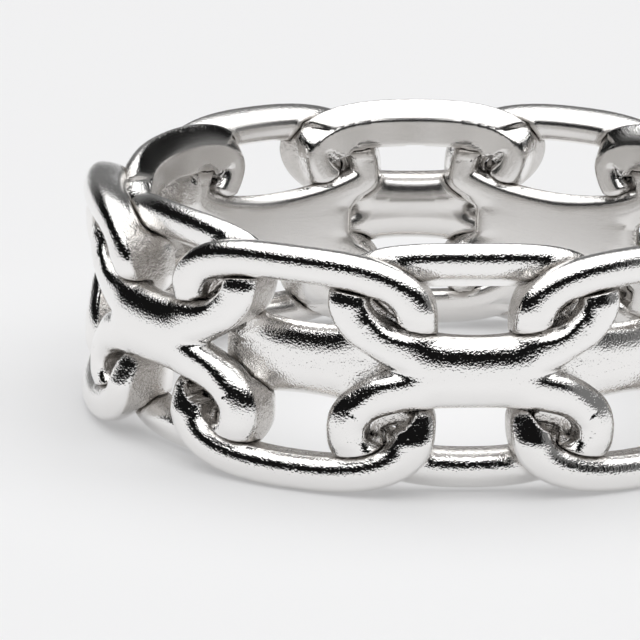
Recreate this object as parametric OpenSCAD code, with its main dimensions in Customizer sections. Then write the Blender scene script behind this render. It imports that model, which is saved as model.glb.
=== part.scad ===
// Finger ring: a rigid band of twelve cast double-loop links.
// Each link is a figure of eight lying on its side along the band: an upper
// and a lower oval loop that share one broad waist. Six proud links carry
// the waist on the outside of the band and dive inwards at their rims. Six
// recessed links do the opposite, so neighbours pass through each other's
// loops the way chain links do. The ring axis is Z and the band stands on
// z = 0, as the ring lies on a table.

/* [Band] */
// Radius of the finger hole, the ground inner face
hole_r = 8.5; // [8.3:0.05:8.6]
// Outer radius of the band
outer_r = 10.39; // [10.3:0.01:10.5]
// Radius at which the links lie on one another, and where lengths are measured
mid_r = 9.43; // [9.4:0.01:9.46]
// Half the gap kept between links where they cross
half_gap = 0.04; // [0.03:0.01:0.06]
// Inner face of a waist or rim that stands outside, inwards of mid_r
deep = 0.35; // [0.2:0.01:0.4]

/* [Proud link] */
// Half the length of a loop, to the rod centre
p_len = 3.44; // [3.3:0.02:3.5]
// Height of the loop's widest place
p_mid = 1.86; // [1.5:0.01:2]
// Height of the rod centre at the waist
p_waist = 0.29; // [0.25:0.01:0.35]
// Squareness of the rim half of a loop, 2 is an ellipse
p_rim_power = 2.6; // [2:0.1:3]
// Squareness of the waist half
p_waist_power = 2.0; // [1.7:0.1:2.4]
// Half width of the rod at the rim
p_rim_w = 0.54; // [0.45:0.01:0.56]
// Half width of the rod at the loop's ends
p_arm_w = 0.47; // [0.4:0.01:0.5]
// Half height of the waist
p_bar_h = 0.97; // [0.85:0.01:1]

/* [Recessed link] */
// Half the length of a loop, to the rod centre
r_len = 3.36; // [3.3:0.02:3.5]
// Height of the loop's widest place
r_mid = 1.32; // [1.25:0.01:1.5]
// Height of the rod centre at the waist
r_waist = 0.40; // [0.35:0.01:0.45]
// Squareness of the rim half of a loop, 2 is an ellipse
r_rim_power = 2.8; // [2:0.1:3]
// Squareness of the waist half
r_waist_power = 1.6; // [1.5:0.1:2]
// Half width of the rod at the rim
r_rim_w = 0.51; // [0.45:0.01:0.54]
// Half width of the rod at the loop's ends
r_arm_w = 0.50; // [0.45:0.01:0.52]
// Half height of the waist
r_bar_h = 0.92; // [0.85:0.01:0.95]

/* [Both links] */
// Height of the rod centre at the rim
rim_z = 2.96; // [2.8:0.01:3]
// Proud links sit this much above the middle, recessed ones as much below
lift = 0.065; // [0:0.005:0.08]
// Half the length of the bar that fills the waist
bar_len = 2.25; // [1.8:0.05:2.4]

/* [Hidden] */
pairs = 6;                          // proud and recessed links, each
step_deg = 360 / (2 * pairs);       // from one link to its neighbour
// the recessed links' lower rims are what the band stands on
middle_z = rim_z + r_rim_w + lift - 0.005;
rings = 36;                         // stations round a loop
sides = 12;                         // corners of a rod's section
silver = [0.86, 0.85, 0.84];
dull = [0.76, 0.75, 0.73];

// Power of a number that keeps its sign.
function sp(v, e) = sign(v) * pow(abs(v), e);
// Smooth step from 0 to 1 between a and b.
function ease(v, a, b) =
    let(u = min(1, max(0, (v - a) / (b - a)))) u * u * (3 - 2 * u);
function mix(a, b, u) = a + (b - a) * u;

// Place along the band and height of the rod centre, at angle t round a loop.
function loop_power(t, proud) =
    sin(t) >= 0 ? (proud ? p_rim_power : r_rim_power)
                : (proud ? p_waist_power : r_waist_power);
function loop_s(t, proud) =
    (proud ? p_len : r_len) * sp(cos(t), 2 / loop_power(t, proud));
function loop_z(t, proud) =
    let(mid = proud ? p_mid : r_mid, waist = proud ? p_waist : r_waist)
    mid + (sin(t) >= 0 ? rim_z - mid : mid - waist)
        * sp(sin(t), 2 / loop_power(t, proud));

// How far up a loop a height is: above the waist, and at the rim. The rod is
// as deep as the band between the two, at the loop's ends.
function above_waist(z, proud) = proud ? ease(z, 1.15, 1.7) : ease(z, 1.05, 1.6);
function at_rim(z, proud) = proud ? ease(z, 1.7, 2.3) : ease(z, 1.55, 2.2);
// Inner face, off mid_r, of what stands outside: deeper in the middle of the
// link, where no neighbour passes behind.
function behind(s) = mix(-deep, half_gap, ease(abs(s), 0.7, 1.5));
function inner_h(s, z, proud) = proud
    ? mix(behind(s), hole_r - 0.05 - mid_r, above_waist(z, true))
    : mix(hole_r - 0.05 - mid_r, behind(s), at_rim(z, false));
function outer_h(s, z, proud) = proud
    ? mix(outer_r - mid_r, -half_gap, at_rim(z, true))
    : mix(-0.2, outer_r - mid_r, above_waist(z, false));
function rod_w(z, proud) =
    mix(proud ? p_arm_w : r_arm_w, proud ? p_rim_w : r_rim_w, ease(z, 1.9, 2.6));

// A point at a place along the band, a height and a distance off mid_r.
function wrap(s, z, h) =
    let(a = s / mid_r * 180 / PI)
    [(mid_r + h) * sin(a), -(mid_r + h) * cos(a), z];

// In-band direction across the rod, pointing out of the loop.
function across(t, proud) =
    let(d = 5,
        ds = loop_s(t + d, proud) - loop_s(t - d, proud),
        dz = loop_z(t + d, proud) - loop_z(t - d, proud),
        l = sqrt(ds * ds + dz * dz))
    [dz / l, -ds / l];

// One rod bent into a closed loop.
module loop_rod(proud) {
    pts = [for (i = [0 : rings - 1])
        let(t = 360 * (i + 0.5) / rings, s = loop_s(t, proud),
            z = loop_z(t, proud), n = across(t, proud), w = rod_w(z, proud),
            lo = inner_h(s, z, proud), hi = outer_h(s, z, proud))
        for (j = [0 : sides - 1])
            let(u = 360 * j / sides, c = w * sp(cos(u), 0.85))
            wrap(s + n[0] * c, z + n[1] * c,
                 (lo + hi) / 2 + (hi - lo) / 2 * sp(sin(u), 0.85))];
    faces = [for (i = [0 : rings - 1]) for (j = [0 : sides - 1])
        let(i2 = (i + 1) % rings, j2 = (j + 1) % sides)
        [i * sides + j, i * sides + j2, i2 * sides + j2, i2 * sides + j]];
    polyhedron(points = pts, faces = faces, convexity = 6);
}

// The bar that fills the waist between the two loops, thinning to its ends.
// columns: share of the bar's half length, share of its half height
bar_table = [[-1, 0.22], [-0.86, 0.72], [-0.6, 0.94], [-0.3, 1], [0, 1],
             [0.3, 1], [0.6, 0.94], [0.86, 0.72], [1, 0.22]];
module waist_bar(proud) {
    n = len(bar_table);
    m = 12;
    pts = [for (row = bar_table)
        let(s = row[0] * bar_len, lo = inner_h(s, 0, proud) + 0.005,
            hi = outer_h(s, 0, proud) - 0.005,
            thick = (hi - lo) / 2 * min(1, 0.55 + row[1] * 0.5))
        for (j = [0 : m - 1])
            let(u = 360 * (j + 0.5) / m)
            wrap(s, (proud ? p_bar_h : r_bar_h) * row[1] * sp(cos(u), 0.8),
                 (lo + hi) / 2 + thick * sp(sin(u), 0.9))];
    side_faces = [for (i = [0 : n - 2]) for (j = [0 : m - 1])
        let(j2 = (j + 1) % m)
        [i * m + j, (i + 1) * m + j, (i + 1) * m + j2, i * m + j2]];
    caps = [[for (j = [0 : m - 1]) j],
            [for (j = [m - 1 : -1 : 0]) (n - 1) * m + j]];
    polyhedron(points = pts, faces = concat(side_faces, caps), convexity = 2);
}

// A whole link, with its inner face ground to the finger hole.
module link(proud) {
    translate([0, 0, middle_z + (proud ? lift : -lift)])
    difference() {
        union() {
            loop_rod(proud);
            mirror([0, 0, 1]) loop_rod(proud);
            waist_bar(proud);
        }
        cylinder(r = hole_r, h = 2 * middle_z + 2, center = true, $fn = 180);
    }
}

// Proud links sit on the even places round the band, recessed on the odd.
module proud_link(n) {
    color(silver) rotate([0, 0, 2 * (n - 1) * step_deg]) link(true);
}
module recessed_link(n) {
    color(dull) rotate([0, 0, (2 * n - 1) * step_deg]) link(false);
}

module proud_link_1() { proud_link(1); }
module proud_link_2() { proud_link(2); }
module proud_link_3() { proud_link(3); }
module proud_link_4() { proud_link(4); }
module proud_link_5() { proud_link(5); }
module proud_link_6() { proud_link(6); }
module recessed_link_1() { recessed_link(1); }
module recessed_link_2() { recessed_link(2); }
module recessed_link_3() { recessed_link(3); }
module recessed_link_4() { recessed_link(4); }
module recessed_link_5() { recessed_link(5); }
module recessed_link_6() { recessed_link(6); }

proud_link_1();
proud_link_2();
proud_link_3();
proud_link_4();
proud_link_5();
proud_link_6();
recessed_link_1();
recessed_link_2();
recessed_link_3();
recessed_link_4();
recessed_link_5();
recessed_link_6();
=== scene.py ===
import math

import bpy
import numpy as np
from mathutils import Matrix, Vector


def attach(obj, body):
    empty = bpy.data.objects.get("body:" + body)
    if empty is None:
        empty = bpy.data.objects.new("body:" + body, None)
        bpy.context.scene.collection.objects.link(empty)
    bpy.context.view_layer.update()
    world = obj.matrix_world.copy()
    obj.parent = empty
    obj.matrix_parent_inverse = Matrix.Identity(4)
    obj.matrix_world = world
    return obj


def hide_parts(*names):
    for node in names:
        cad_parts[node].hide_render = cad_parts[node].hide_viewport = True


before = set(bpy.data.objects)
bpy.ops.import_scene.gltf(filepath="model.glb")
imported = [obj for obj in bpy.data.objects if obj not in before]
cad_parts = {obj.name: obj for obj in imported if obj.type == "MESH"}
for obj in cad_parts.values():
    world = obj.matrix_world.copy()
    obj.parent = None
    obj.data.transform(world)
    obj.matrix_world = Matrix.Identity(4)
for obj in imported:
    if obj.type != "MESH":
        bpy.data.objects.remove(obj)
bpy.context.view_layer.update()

MM = 0.001

# ---------------------------------------------------------------- sizes, in mm
HOLE_R = 8.5
INNER_R = 8.94
OUTER_R = 9.92
BAND_H = 7.07                       # twice the height of the middle
MID_R = (INNER_R + OUTER_R) / 2
ROD_W = 0.55
ROD_T = 0.47
WAIST_T = 0.55
# A link's loops, lower and upper, first of a recessed link, then of a proud one: half
# length, height of the widest place, of the waist and of the rim, squareness of rim and
# waist; half widths of rim, arm and waist; the heights between which the waist narrows.
SHAPE = (((3.41, 1.32, 0.40, 2.96, 2.8, 1.5, 0.51, 0.54, 0.54, 0.4, 1.2),
          (3.41, 1.32, 0.40, 2.96, 2.8, 1.5, 0.51, 0.54, 0.54, 0.4, 1.2)),
         ((3.38, 1.75, 0.31, 2.96, 2.6, 2.2, 0.54, 0.55, 0.61, 0.4, 1.0),
          (3.38, 2.05, 0.34, 2.96, 2.6, 2.05, 0.54, 0.52, 0.68, 0.4, 0.95)))
SHIFT = (-0.065, 0.065)             # how far a link sits off the middle of the band
BAR = ((0.0, 1.02, 2.9), (0.05, 0.98, 2.0))     # middle, half height and half length of the waist
LONG = 3.48 + 0.57
STEP = math.radians(30)
CELL = 0.062
IN_H = HOLE_R - MID_R - 0.05        # inner face, from the middle radius
OUT_H = OUTER_R + ROD_T - MID_R     # outer face
LAP_H = (-0.2, -0.02)               # outer face of what lies behind: recessed waist, proud rim
DEEP_H = -0.27                      # inner face of what lies in front
GAP = 0.03                          # where one link lies on another
WEB = 0.36                          # how wide a gap the web closes, from each side
WEB_H = 0.38                        # half its thickness


def spow(v, e):
    return np.sign(v) * np.abs(v) ** e


def ease(v, a, b):
    u = np.clip((v - a) / (b - a), 0, 1)
    return u * u * (3 - 2 * u)


def bend(v, k=0.25):
    """0 below 0, then a slope of 1 that starts gently."""
    v = np.maximum(v, 0)
    return np.where(v < k, v * v / (2 * k), v - k / 2)


def smin(a, b, k):
    h = np.clip(0.5 + 0.5 * (b - a) / k, 0, 1)
    return b + (a - b) * h - k * h * (1 - h)


def smax(a, b, k):
    return -smin(-a, -b, k)


def centre_line(half_length, widest, waist, rim, rim_power, waist_power):
    """The upper loop as points (place along the band, height), at even steps."""
    t = np.linspace(0, 2 * np.pi, 721)[:-1] + 1e-4
    c, s = np.cos(t), np.sin(t)
    n = np.where(s >= 0, rim_power, waist_power)
    line = np.stack([half_length * spow(c, 2 / n),
                     widest + np.where(s >= 0, rim - widest, widest - waist) * spow(s, 2 / n)], -1)
    steps = np.concatenate([[0], np.cumsum(np.linalg.norm(np.roll(line, -1, 0) - line, axis=1))])
    u = np.linspace(0, steps[-1], 481)[:-1]
    line = np.vstack([line, line[:1]])
    return np.stack([np.interp(u, steps, line[:, 0]), np.interp(u, steps, line[:, 1])], -1)


def nearest_on_loop(a, s, z):
    """Signed distance to a centre line in the band's surface, out of the loop positive, and the height there."""
    b = np.roll(a, -1, 0)
    ab = b - a
    l2 = (ab ** 2).sum(1)
    out = []
    for i in range(0, len(s), 20000):
        p = np.stack([s[i:i + 20000], z[i:i + 20000]], -1)
        j = np.argmin((p[:, :1] - a[None, :, 0]) ** 2 + (p[:, 1:] - a[None, :, 1]) ** 2, 1)
        best = None
        for dj in (-1, 0):
            jj = (j + dj) % len(a)
            w = p - a[jj]
            u = np.clip((w * ab[jj]).sum(1) / l2[jj], 0, 1)
            e = w - ab[jj] * u[:, None]
            dd = np.sqrt((e ** 2).sum(1))
            dd = dd * -np.sign(ab[jj, 0] * e[:, 1] - ab[jj, 1] * e[:, 0])
            zz = a[jj, 1] + ab[jj, 1] * u
            if best is None:
                best = [dd, zz]
            else:
                m = np.abs(dd) < np.abs(best[0])
                best = [np.where(m, dd, best[0]), np.where(m, zz, best[1])]
        out.append(np.stack(best, -1))
    return np.vstack(out)


# The same on a fine sheet of points, read between its points from then on.
FINE = 0.02
_ns, _nz = 236, 401
_gs, _gz = np.meshgrid(np.arange(_ns) * FINE, -4.0 + np.arange(_nz) * FINE, indexing="ij")
SHEETS = [[nearest_on_loop(centre_line(*loop[:6]), _gs.ravel(), _gz.ravel()).reshape(_ns, _nz, 2) for loop in kind] for kind in SHAPE]


def near_loop(s, z, proud, top):
    sheet = SHEETS[int(proud)][int(top)]
    x = np.clip(np.abs(s) / FINE, 0, _ns - 1.001)
    y = np.clip((z + 4.0) / FINE, 0, _nz - 1.001)
    i, j = x.astype(int), y.astype(int)
    u, v = (x - i)[:, None], (y - j)[:, None]
    r = (sheet[i, j] * (1 - u) + sheet[i + 1, j] * u) * (1 - v) + (sheet[i, j + 1] * (1 - u) + sheet[i + 1, j + 1] * u) * v
    return r[:, 0] + np.maximum(np.abs(s) - _ns * FINE, 0), r[:, 1]


def levels(zc, proud, top=True):
    """Inner and outer radius of a rod whose centre is at height zc, less the middle radius."""
    if proud:
        low, high = ease(zc, 0.85, 1.25), ease(zc, 2.5, 2.8)
        out = OUT_H - 0.33 * bend(zc - (1.78 if top else 2.0))
        return (1 - low) * DEEP_H + low * IN_H, (1 - high) * out + high * LAP_H[1]
    low, high = ease(zc, 0.6, 1.05), ease(zc, 2.2, 2.6)
    out = OUT_H - 0.34 * bend(1.95 - zc)
    return (1 - high) * IN_H + high * DEEP_H, (1 - low) * LAP_H[0] + low * out


def section(d, h, lo, hi, w, rim_side, loop_side, flat=0.0, slant=0.0, power=2.05, most=ROD_T, edge=2.05):
    """A rod's section: a round outer cap, level flanks and rounded inner corners.

    d is the distance from the rod's centre line in the band's surface, out of the loop positive."""
    cap = np.minimum(most, (hi - lo) * 0.55)
    centre = hi - cap
    under = centre - h
    over = np.maximum(-under, 0) / cap
    wide = w + np.where(d < 0, slant * np.clip(under, 0, 1), 0)
    q = (np.abs(d / wide) ** power + over ** power) ** (1 / power)
    corner = np.minimum(np.where(d > 0, rim_side, loop_side), centre - lo)
    over = np.maximum(under - (centre - lo - corner), 0) / corner
    side = np.where(d > 0, np.maximum(d + flat, 0) / (wide + flat), -d / wide)
    edge = np.where(d > 0, edge, power)
    q = np.maximum(q, (side ** edge + over ** edge) ** (1 / edge))
    return (q - 1) * np.minimum(w, ROD_T)


def rod(s, z, h, proud, top):
    """The upper loop of a link, or with z turned over the lower one."""
    rim_w, arm_w, waist_w, narrow, narrowed = SHAPE[int(proud)][int(top)][6:]
    d, zc = near_loop(s, z, proud, top)
    # across an arm the depth changes with the height, not with the place along the rod
    lo, hi = levels(zc + (z - zc) * 0.6 * ease(np.abs(s), 2.0, 2.9), proud, top)
    high = ease(zc, 1.9, 2.6)
    w = arm_w + (rim_w - arm_w) * high + (waist_w - arm_w) * (1 - ease(zc, narrow, narrowed))
    if proud:
        # the finger side of a proud rim slopes off towards the rim's edge
        arm = ease(zc, 0.7, 1.2) * (1 - high)
        if not top:
            # the lower arms slope off towards the outside of the loop
            hi = hi - 0.3 * ease(zc, 0.6, 1.0) * (1 - high) * bend(np.minimum(d, 0.6) + 0.14, 0.15)
        return section(d, h, lo, hi, w, 0.9, 0.4 - (0.32 if top else 0.2) * high, 0.11 * high, 0.6 * high if top else 0.0,
                       most=ROD_T - 0.05 * high - 0.16 * arm, edge=2.05 - 0.8 * high), zc, d
    return section(d, h, lo, hi, w, 0.9, 0.42, most=ROD_T - 0.08), zc, d


def bar(s, z, h, proud):
    """The middle of the waist."""
    mid, rise, length = BAR[int(proud)]
    z = z - mid
    a = np.abs(s)
    lo, hi = levels(np.zeros(1), proud)
    d = np.maximum(np.abs(z) + 0.4 * ease(a, 2.0, 2.9), (a - length) * 1.2 + rise)
    return section(-d, h, lo, hi, rise, 0.9, 0.9, power=2.0, most=WAIST_T)


def face(s, z, h, proud):
    """Above the round face of the waist, which holds down the ridges of the rods there."""
    mid, rise, length = BAR[int(proud)]
    z = z - mid
    a = np.abs(s)
    rise = rise * 1.03 + 0.06 * a ** 2 + 2.0 * ease(a, 0.9, 2.6)
    lo, hi = levels(np.zeros(1), proud)
    cap = np.minimum(WAIST_T, (hi - lo) * 0.55)
    q = ((z / rise) ** 2 + (np.maximum(h - (hi - cap), 0) / cap) ** 2) ** 0.5
    return (q - 1) * cap


def parts(p, proud):
    s, z, h = p[:, 0], p[:, 1] - SHIFT[int(proud)], p[:, 2]
    up, zu, du = rod(s, z, h, proud, True)
    low, zl, dl = rod(s, -z, h, proud, False)
    return up, zu, low, zl, bar(s, z, h, proud), np.minimum(du, dl), h


def over_lap(p, proud):
    """What of a link lies on top of its neighbours: the waist on one side of the band, the rims on the other.

    On the outer side its whole outline counts, so that nothing laps over its rounded shoulder."""
    h = p[:, 2]
    up, zu, low, zl, b, _, _ = parts(np.stack([p[:, 0], p[:, 1], np.minimum(h, 0.43)], -1), proud)
    f = np.minimum(up, low)
    out, inn = -h, h
    waist = np.minimum(np.maximum(f, np.abs(p[:, 1]) - 1.75), b)
    rim = np.maximum(f, 1.75 - np.abs(p[:, 1]))
    if proud:
        return np.minimum(np.maximum(waist, out), np.maximum(rim, inn))
    return np.minimum(np.maximum(rim, out), np.maximum(waist, inn))


def body(p, proud):
    """A link with nothing taken off where it meets its neighbours, and how far outside its loops a place is."""
    up, zu, low, zl, b, outside, h = parts(p, proud)
    top = face(p[:, 0], p[:, 1] - SHIFT[int(proud)], h, proud)
    up = np.where(zu < 1.2, smax(up, top, 0.06), up)
    low = np.where(zl < 1.2, smax(low, top, 0.06), low)
    return smin(smin(up, low, 0.1), b, 0.1), outside


def link_field(p, proud):
    """Signed distance, roughly, to a link at the middle of the band. p is (along, height, outwards)."""
    h = p[:, 2]
    f, outside = body(p, proud)
    cut = np.full(len(p), 9.0)
    near = np.full(len(p), 9.0)
    far = np.full(len(p), 9.0)
    for sd in (-1, 1):
        q = p.copy()
        q[:, 0] = p[:, 0] + sd * STEP * MID_R
        m = np.abs(q[:, 0]) < 4.3
        if m.any():
            cut[m] = np.minimum(cut[m], over_lap(q[m], not proud))
            g, beyond = body(q[m], not proud)
            near[m] = np.minimum(near[m], g)
            far[m] = np.minimum(far[m], beyond)
    # a web at mid depth, half on each link, nearly closes the narrow places inside two loops
    web = np.maximum(np.maximum(f, near) - WEB, (f - near + GAP) * 0.5)
    web = np.maximum(web, np.maximum(outside, far))
    web = smax(web, np.abs(h + 0.05) - WEB_H, 0.1)
    f = smin(f, web, 0.06)
    f = smax(f, GAP - cut, 0.05)
    return smax(f, HOLE_R - MID_R - h, 0.06)


def gradient(p, proud, e=2e-3):
    g = np.empty(p.shape)
    for i in range(3):
        d = np.zeros(3)
        d[i] = e
        g[:, i] = (link_field(p + d, proud) - link_field(p - d, proud)) / (2 * e)
    return g


def surface_nets(f, lo, cell):
    """Quads on the zero level of a grid of values."""
    inside = f < 0
    c = inside[:-1, :-1, :-1].astype(int)
    for dx, dy, dz in ((1, 0, 0), (0, 1, 0), (0, 0, 1), (1, 1, 0), (1, 0, 1), (0, 1, 1), (1, 1, 1)):
        c = c + inside[dx:inside.shape[0] - 1 + dx, dy:inside.shape[1] - 1 + dy, dz:inside.shape[2] - 1 + dz]
    cells = np.argwhere((c > 0) & (c < 8))
    index = np.full(c.shape, -1)
    index[tuple(cells.T)] = np.arange(len(cells))
    total = np.zeros((len(cells), 3))
    count = np.zeros(len(cells))
    corner = np.array([(x, y, z) for x in (0, 1) for y in (0, 1) for z in (0, 1)])
    for a in range(8):
        for b in range(a + 1, 8):
            if np.abs(corner[a] - corner[b]).sum() != 1:
                continue
            fa = f[tuple((cells + corner[a]).T)]
            fb = f[tuple((cells + corner[b]).T)]
            m = (fa < 0) != (fb < 0)
            t = fa[m] / (fa[m] - fb[m])
            total[m] += corner[a] + (corner[b] - corner[a]) * t[:, None]
            count[m] += 1
    verts = lo + (cells + total / count[:, None]) * cell
    quads = []
    for axis in range(3):
        o1, o2 = [a for a in range(3) if a != axis]
        n = list(f.shape)
        n[axis] -= 1
        sl_a = [slice(None)] * 3
        sl_b = [slice(None)] * 3
        sl_a[axis] = slice(0, -1)
        sl_b[axis] = slice(1, None)
        ia, ib = inside[tuple(sl_a)], inside[tuple(sl_b)]
        e = np.argwhere(ia != ib)
        e = e[(e[:, o1] > 0) & (e[:, o2] > 0) & (e[:, o1] < c.shape[o1]) & (e[:, o2] < c.shape[o2])]
        first = ia[tuple(e.T)]
        q = []
        for a1, a2 in ((1, 1), (0, 1), (0, 0), (1, 0)):
            k = e.copy()
            k[:, o1] -= a1
            k[:, o2] -= a2
            q.append(index[tuple(k.T)])
        q = np.stack(q, -1)
        flip = first if axis != 1 else ~first
        q[~flip] = q[~flip][:, ::-1]
        quads.append(q)
    return verts, np.vstack(quads)


def main_piece(verts, quads):
    """The link without the slivers that hang on it by an edge alone."""
    a, b = quads.ravel(), np.roll(quads, -1, 1).ravel()
    edge = np.minimum(a, b) * len(verts) + np.maximum(a, b)
    order = np.argsort(edge, kind="stable")
    owner = np.repeat(np.arange(len(quads)), 4)[order]
    _, first, count = np.unique(edge[order], return_index=True, return_counts=True)
    first = first[count == 2]
    f, g = owner[first], owner[first + 1]
    label = np.arange(len(quads))
    while True:
        low = label.copy()
        least = np.minimum(label[f], label[g])
        np.minimum.at(low, label[f], least)
        np.minimum.at(low, label[g], least)
        for turn in range(4):
            low = low[low]
        if (low == label).all():
            break
        label = low
    quads = quads[label == np.bincount(label).argmax()]
    used = np.unique(quads)
    index = np.zeros(len(verts), dtype=int)
    index[used] = np.arange(len(used))
    return verts[used], index[quads]


def make_link_mesh(proud):
    """Vertices, quads and normals of a link at the middle of the band, in (along, height, outwards)."""
    lo = np.array([-LONG - 0.2, -BAND_H / 2 - 0.2, HOLE_R - MID_R - 0.15])
    hi = np.array([-lo[0], -lo[1], OUTER_R + ROD_T - MID_R + 0.15])
    n = np.ceil((hi - lo) / CELL).astype(int) + 1
    xs = [lo[i] + CELL * np.arange(n[i]) for i in range(3)]
    # in-band distances depend only on place and height, so they are found once for a sheet of points
    g = np.stack(np.meshgrid(*xs, indexing="ij"), -1).reshape(-1, 3)
    f = np.empty(len(g))
    step = n[1] * n[2] * 8
    for i in range(0, len(g), step):
        f[i:i + step] = link_field(g[i:i + step], proud)
    verts, quads = main_piece(*surface_nets(f.reshape(n), lo, CELL))
    for turn in range(4):
        gr = gradient(verts, proud)
        verts = verts - (link_field(verts, proud) / np.maximum((gr ** 2).sum(1), 0.05))[:, None] * gr
        if turn < 3:
            # even out the quads along the surface
            total = np.zeros(verts.shape)
            count = np.zeros(len(verts))
            for a in range(4):
                i, j = quads[:, a], quads[:, (a + 1) % 4]
                np.add.at(total, i, verts[j])
                np.add.at(count, i, 1)
                np.add.at(total, j, verts[i])
                np.add.at(count, j, 1)
            verts = verts + 0.6 * (total / count[:, None] - verts)
    gr = gradient(verts, proud)
    verts = verts - (link_field(verts, proud) / np.maximum((gr ** 2).sum(1), 0.05))[:, None] * gr
    # read a little wider for the shading, so that a crease is as soft as the quads on it
    return verts, quads, gradient(verts, proud, 0.05)


def place(p, angle):
    """From (along, height, outwards) in mm to the row frame in metres, at an angle round the band."""
    a = p[:, 0] / MID_R + angle
    r = p[:, 2] + MID_R
    return np.stack([r * np.sin(a), -r * np.cos(a), p[:, 1] + BAND_H / 2], -1) * MM


def place_normals(p, g, angle):
    a = p[:, 0] / MID_R + angle
    r = p[:, 2] + MID_R
    gs = g[:, 0] * MID_R / r
    n = np.stack([gs * np.cos(a) + g[:, 2] * np.sin(a), gs * np.sin(a) - g[:, 2] * np.cos(a), g[:, 1]], -1)
    return n / np.linalg.norm(n, axis=1)[:, None]


def marks(p, g, proud):
    """How cast-rough each vertex is, with painted crevice shade near a neighbouring link counted in, and how finely
    ground and how pitted it is.
    """
    r = p[:, 2] + MID_R
    n = g / np.linalg.norm(g, axis=1)[:, None]
    flank = 1 - ease(np.abs(n[:, 2]), 0.12, 0.42)
    rim = ease(np.abs(p[:, 1]), 2.65, 3.0) * ease(n[:, 1] * np.sign(p[:, 1]), 0.0, 0.5)
    flank = flank * (1 - rim)
    # painted shade: close to a neighbouring link the colour turns darker and browner and the surface rougher,
    # standing in for the shade in the crevices where links meet
    near = np.full(len(p), 9.0)
    for sd in (-1, 1):
        q = p.copy()
        q[:, 0] = p[:, 0] + sd * STEP * MID_R
        near = np.minimum(near, link_field(q, not proud))
    crevice_shade = 1 - ease(near, 0.03, 0.22)
    ground = ease(-n[:, 2], 0.5, 0.9)
    pit = ease(n[:, 2], 0.35, 0.7) * (1 - ease(np.abs(p[:, 1]), 0.75, 0.95)) * (1 - ease(np.abs(p[:, 0]), 2.0, 2.6))
    if proud:
        pit = pit * 0
    return np.maximum(flank, crevice_shade), ground, pit


def build_link(name, node, mesh_data, angle, proud, material):
    verts, quads, grad, rough, ground, pit = mesh_data
    me = bpy.data.meshes.new(name)
    co = place(verts, angle)
    me.vertices.add(len(co))
    me.vertices.foreach_set("co", co.ravel())
    me.loops.add(quads.size)
    me.loops.foreach_set("vertex_index", quads.ravel().astype(np.int32))
    me.polygons.add(len(quads))
    me.polygons.foreach_set("loop_start", np.arange(0, quads.size, 4, dtype=np.int32))
    me.polygons.foreach_set("loop_total", np.full(len(quads), 4, dtype=np.int32))
    me.update(calc_edges=True)
    me.validate()
    me.polygons.foreach_set("use_smooth", np.ones(len(me.polygons), dtype=bool))
    me.normals_split_custom_set_from_vertices(place_normals(verts, grad, angle).tolist())
    # the first channel holds the cast skin together with the painted crevice shade near neighbouring links
    col = me.color_attributes.new("cast", "FLOAT_COLOR", "POINT")
    rgba = np.stack([rough, ground, pit, np.ones(len(rough))], -1).astype(np.float32)
    col.data.foreach_set("color", rgba.ravel())
    ob = bpy.data.objects.new(name, me)
    bpy.context.scene.collection.objects.link(ob)
    me.materials.append(material)
    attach(ob, "root")
    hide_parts(node)
    return ob


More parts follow.
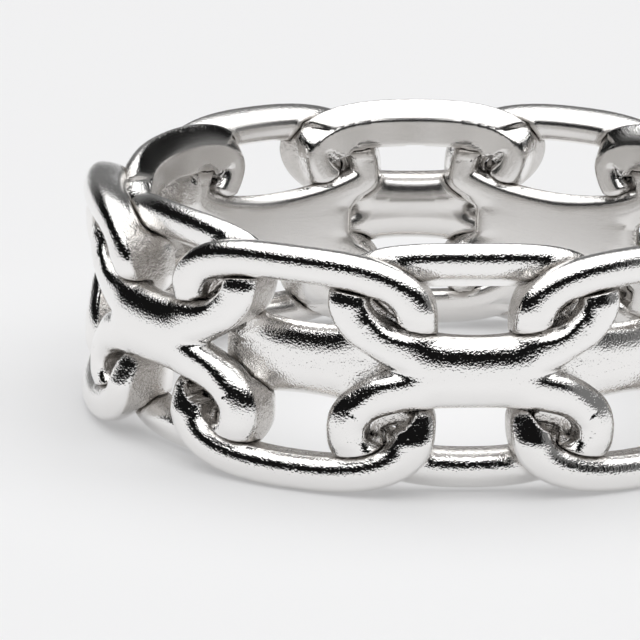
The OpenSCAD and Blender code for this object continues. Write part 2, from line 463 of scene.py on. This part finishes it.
# ---------------------------------------------------------------- materials
def silver(name, base):
    m = bpy.data.materials.new(name)
    m.use_nodes = True
    nt = m.node_tree
    nt.nodes.clear()
    N, L = nt.nodes.new, nt.links.new
    out = N("ShaderNodeOutputMaterial")
    bsdf = N("ShaderNodeBsdfPrincipled")
    bsdf.inputs["Metallic"].default_value = 1.0
    L(bsdf.outputs[0], out.inputs[0])
    tc = N("ShaderNodeTexCoord")
    # the first channel of this attribute is cast skin together with painted crevice shade
    att = N("ShaderNodeVertexColor")
    att.layer_name = "cast"
    sep = N("ShaderNodeSeparateColor")
    L(att.outputs["Color"], sep.inputs[0])

    def noise(scale, detail, rough=0.5):
        n = N("ShaderNodeTexNoise")
        n.inputs["Scale"].default_value = scale
        n.inputs["Detail"].default_value = detail
        n.inputs["Roughness"].default_value = rough
        L(tc.outputs["Object"], n.inputs["Vector"])
        return n

    def math_(op, a, b, clamp=False):
        n = N("ShaderNodeMath")
        n.operation = op
        n.use_clamp = clamp
        for i, v in enumerate((a, b)):
            if isinstance(v, (int, float)):
                n.inputs[i].default_value = v
            else:
                L(v, n.inputs[i])
        return n.outputs[0]

    grain = noise(17000, 1.0, 0.5)
    cast = noise(7000, 3.0, 0.6)
    pits = noise(16000, 2.0, 0.6)
    mott = noise(900, 3.0, 0.6)

    # colour: bright silver, greyer and browner where the casting was never polished, and darker and browner as
    # painted shade in the crevices next to neighbouring links
    mix = N("ShaderNodeMix")
    mix.data_type = "RGBA"
    mix.inputs["A"].default_value = (*base, 1)
    mix.inputs["B"].default_value = (0.45, 0.415, 0.38, 1)
    unpolished_and_crevice_shade = math_("MULTIPLY", sep.outputs[0], math_("ADD", math_("MULTIPLY", mott.outputs["Fac"], 0.7), 0.25))
    L(math_("ADD", unpolished_and_crevice_shade, math_("MULTIPLY", sep.outputs[1], 0.22), True), mix.inputs["Factor"])      # faces that look in towards the ring's middle are a little darker and browner
    L(mix.outputs["Result"], bsdf.inputs["Base Color"])

    # roughness
    r1 = math_("ADD", 0.03, math_("MULTIPLY", mott.outputs["Fac"], 0.03))
    r2 = math_("ADD", r1, math_("MULTIPLY", sep.outputs[0], 0.2))
    r3 = math_("ADD", r2, math_("ADD", math_("MULTIPLY", sep.outputs[2], 0.03), math_("MULTIPLY", sep.outputs[1], 0.18)))
    L(r3, bsdf.inputs["Roughness"])

    # height: fine grain everywhere, coarse skin on cast places, pits on the recessed waist
    h1 = math_("MULTIPLY", grain.outputs["Fac"], math_("SUBTRACT", 0.0000105, math_("MULTIPLY", sep.outputs[1], 0.0000085)))
    h2 = math_("MULTIPLY", math_("MULTIPLY", cast.outputs["Fac"], sep.outputs[0]), 0.00006)
    h3 = math_("MULTIPLY", math_("MULTIPLY", pits.outputs["Fac"], sep.outputs[2]), 0.000006)
    bump = N("ShaderNodeBump")
    bump.inputs["Strength"].default_value = 1.0
    bump.inputs["Distance"].default_value = 1.0
    L(math_("ADD", math_("ADD", h1, h2), h3), bump.inputs["Height"])
    L(bump.outputs[0], bsdf.inputs["Normal"])
    return m


proud_mat = silver("proud_silver", (0.93, 0.92, 0.907))
recessed_mat = silver("recessed_silver", (0.925, 0.914, 0.9))

data = {}
for proud in (True, False):
    v, q, g = make_link_mesh(proud)
    data[proud] = (v, q, g, *marks(v, g, proud))
for i in range(6):
    build_link(f"proud_link_silver_{i + 1}", f"proud_link_{i + 1}", data[True], 2 * i * STEP, True, proud_mat)
    build_link(f"recessed_link_silver_{i + 1}", f"recessed_link_{i + 1}", data[False], (2 * i + 1) * STEP, False, recessed_mat)

# ---------------------------------------------------------------- floor
fl = bpy.data.meshes.new("floor")
R = 1.5
fl.from_pydata([(R * math.cos(a), R * math.sin(a), 0) for a in np.linspace(0, 2 * math.pi, 65)[:-1]], [], [list(range(64))])
floor = bpy.data.objects.new("floor", fl)
bpy.context.scene.collection.objects.link(floor)
fm = bpy.data.materials.new("floor_paper")
fm.use_nodes = True
fb = fm.node_tree.nodes["Principled BSDF"]
fb.inputs["Base Color"].default_value = (0.607, 0.607, 0.611, 1)
fb.inputs["Roughness"].default_value = 0.6
fb.inputs["Emission Color"].default_value = (0.994, 0.994, 1.0, 1)    # a sheet lit from below too
fb.inputs["Emission Strength"].default_value = 0.2515
fb.inputs["Specular IOR Level"].default_value = 0.2
fl.materials.append(fm)

# ---------------------------------------------------------------- light
scene = bpy.context.scene
world = bpy.data.worlds.new("studio")
scene.world = world
world.use_nodes = True
wn = world.node_tree
wn.nodes.clear()
wout = wn.nodes.new("ShaderNodeOutputWorld")
bg = wn.nodes.new("ShaderNodeBackground")
wtc = wn.nodes.new("ShaderNodeTexCoord")
wsep = wn.nodes.new("ShaderNodeSeparateXYZ")
ramp = wn.nodes.new("ShaderNodeValToRGB")
wn.links.new(wtc.outputs["Generated"], wsep.inputs[0])
wn.links.new(wsep.outputs["Z"], ramp.inputs[0])
ramp_back = wn.nodes.new("ShaderNodeValToRGB")
wn.links.new(wsep.outputs["Z"], ramp_back.inputs[0])
behind = wn.nodes.new("ShaderNodeMapRange")
behind.interpolation_type = "SMOOTHSTEP"
behind.inputs["From Min"].default_value = 0.72
behind.inputs["From Max"].default_value = 0.97
wn.links.new(wsep.outputs["Y"], behind.inputs["Value"])
beside = wn.nodes.new("ShaderNodeMapRange")     # a grey screen to the right
beside.interpolation_type = "SMOOTHSTEP"
beside.inputs["From Min"].default_value = 0.72
beside.inputs["From Max"].default_value = 0.88
wn.links.new(wsep.outputs["X"], beside.inputs["Value"])
either = wn.nodes.new("ShaderNodeMath")
either.operation = "MAXIMUM"
wn.links.new(behind.outputs["Result"], either.inputs[0])
wn.links.new(beside.outputs["Result"], either.inputs[1])
both = wn.nodes.new("ShaderNodeMix")
both.data_type = "RGBA"
wn.links.new(either.outputs[0], both.inputs["Factor"])
wn.links.new(ramp.outputs[0], both.inputs["A"])
wn.links.new(ramp_back.outputs[0], both.inputs["B"])
wn.links.new(both.outputs["Result"], bg.inputs["Color"])
wn.links.new(bg.outputs[0], wout.inputs[0])
bg.inputs["Strength"].default_value = 1.72
cr = ramp.color_ramp
cr.interpolation = "LINEAR"
cr.elements[0].position = 0.0
cr.elements[0].color = (0.25, 0.25, 0.25, 1)
cr.elements[1].position = 0.02
cr.elements[1].color = (0.15, 0.15, 0.15, 1)
for pos, v in ((0.06, 0.004), (0.60, 0.004), (0.67, 1.0), (1.0, 1.0)):
    e = cr.elements.new(pos)
    e.color = (v, v, v, 1)
cb = ramp_back.color_ramp
cb.elements[0].position = 0.0
cb.elements[0].color = (0.3, 0.3, 0.3, 1)
cb.elements[1].position = 0.03
cb.elements[1].color = (0.11, 0.11, 0.11, 1)
for pos, v in ((0.48, 0.10), (0.56, 1.0), (1.0, 1.0)):
    e = cb.elements.new(pos)
    e.color = (v, v, v, 1)

# ---------------------------------------------------------------- camera
E, D, S = math.radians(14.335), 187.8, 34.397
TX, TZ, ROLL, PHI = -3.479, -1.071, math.radians(1.097), math.radians(5.821)
C = Vector((0, -math.cos(E) * D, math.sin(E) * D))
T = Vector((TX, 0, TZ))
fw = (T - C).normalized()
rt = fw.cross(Vector((0, 0, 1))).normalized()
uv = rt.cross(fw)
right = math.cos(ROLL) * rt + math.sin(ROLL) * uv
up = -math.sin(ROLL) * rt + math.cos(ROLL) * uv
m = Matrix((right, up, -fw)).transposed().to_4x4()
m.translation = C
m = Matrix.Rotation(-PHI, 4, "Z") @ m
m.translation = (m.translation + Vector((0, 0, BAND_H / 2))) * MM
cam_data = bpy.data.cameras.new("camera")
cam_data.sensor_width = 36
cam_data.lens = S * D / 640 * 36
cam_data.clip_start = 0.005
cam_data.clip_end = 20
cam = bpy.data.objects.new("camera", cam_data)
scene.collection.objects.link(cam)
cam.matrix_world = m
scene.camera = cam
scene.view_settings.view_transform = "Standard"
scene.view_settings.look = "None"

bpy.context.view_layer.update()
